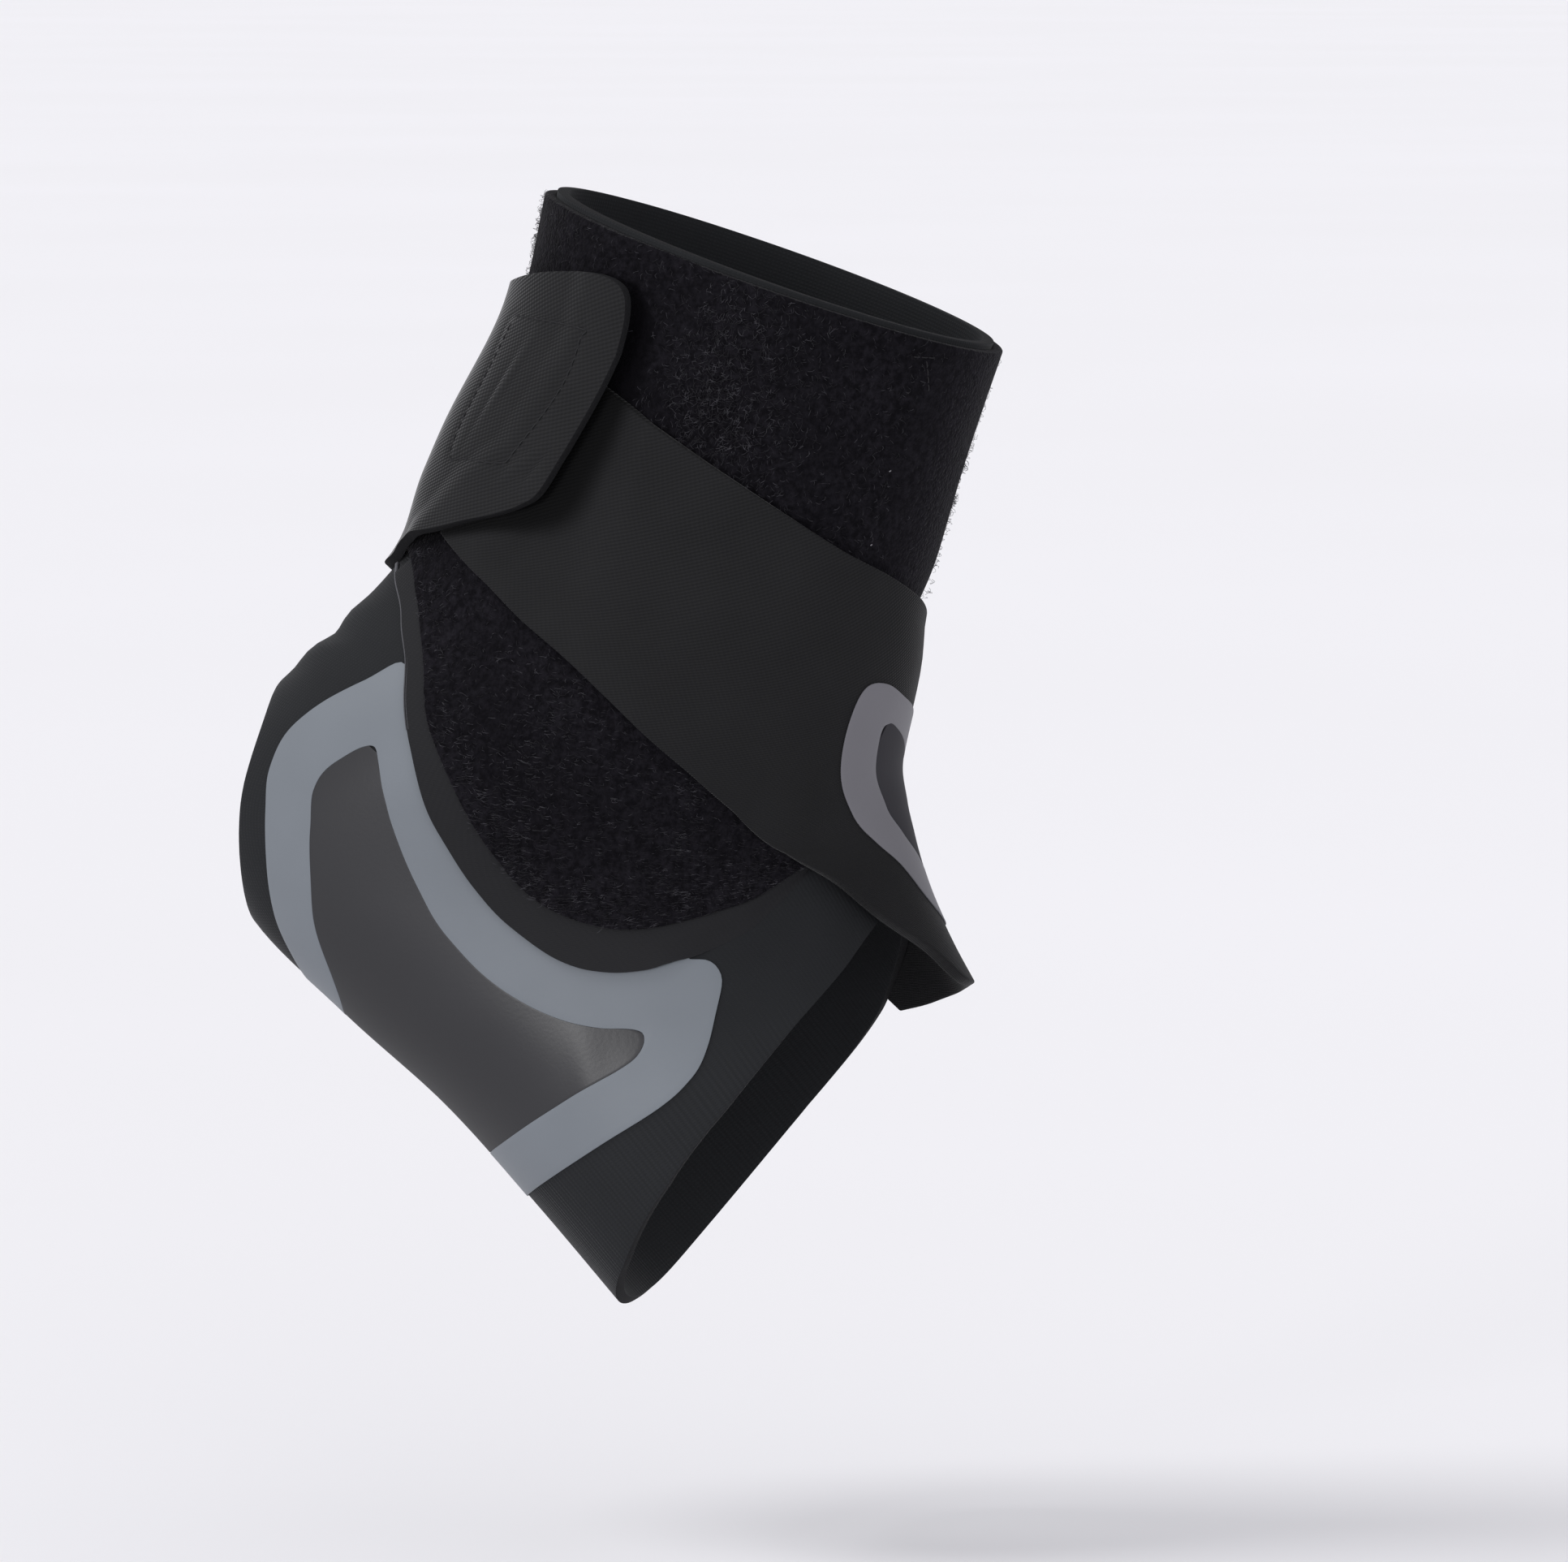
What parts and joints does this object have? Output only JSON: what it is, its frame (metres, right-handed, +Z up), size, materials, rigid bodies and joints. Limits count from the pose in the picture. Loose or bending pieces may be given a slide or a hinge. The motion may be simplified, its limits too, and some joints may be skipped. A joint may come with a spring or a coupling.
{
  "type": "ankle brace",
  "caption": "Wrap-around ankle brace with an open heel, a rounded side flap, an instep strap that crosses the front, a closing tab round the back and grey ribbon trim.",
  "frame": {"origin": "centre of the ankle joint, in the middle of the hollow", "axes": "+X forward to the toes, +Z up, -Y to the outer side of a right ankle; the leg leans 22.3 degrees forward at its top and the heel is raised"},
  "size_m": [0.1392, 0.0813, 0.2065],
  "materials": {
    "sleeve": "matte stretch knit",
    "pile": "brushed loop pile",
    "strap": "fine twill elastic",
    "tab": "fine twill",
    "hook": "moulded hooks",
    "ribbon_film": "satin bonded film",
    "panel_film": "satin bonded film"
  },
  "bodies": {
    "root": {"stretch_sleeve": "sleeve", "loop_wrap": "pile", "flap_margin": "sleeve", "instep_strap": "strap", "closing_tab": "tab", "hook_patch": "hook", "heel_ribbon": "ribbon_film", "heel_panel": "panel_film", "instep_ring": "ribbon_film", "ring_panel": "panel_film"}
  },
  "joints": []
}
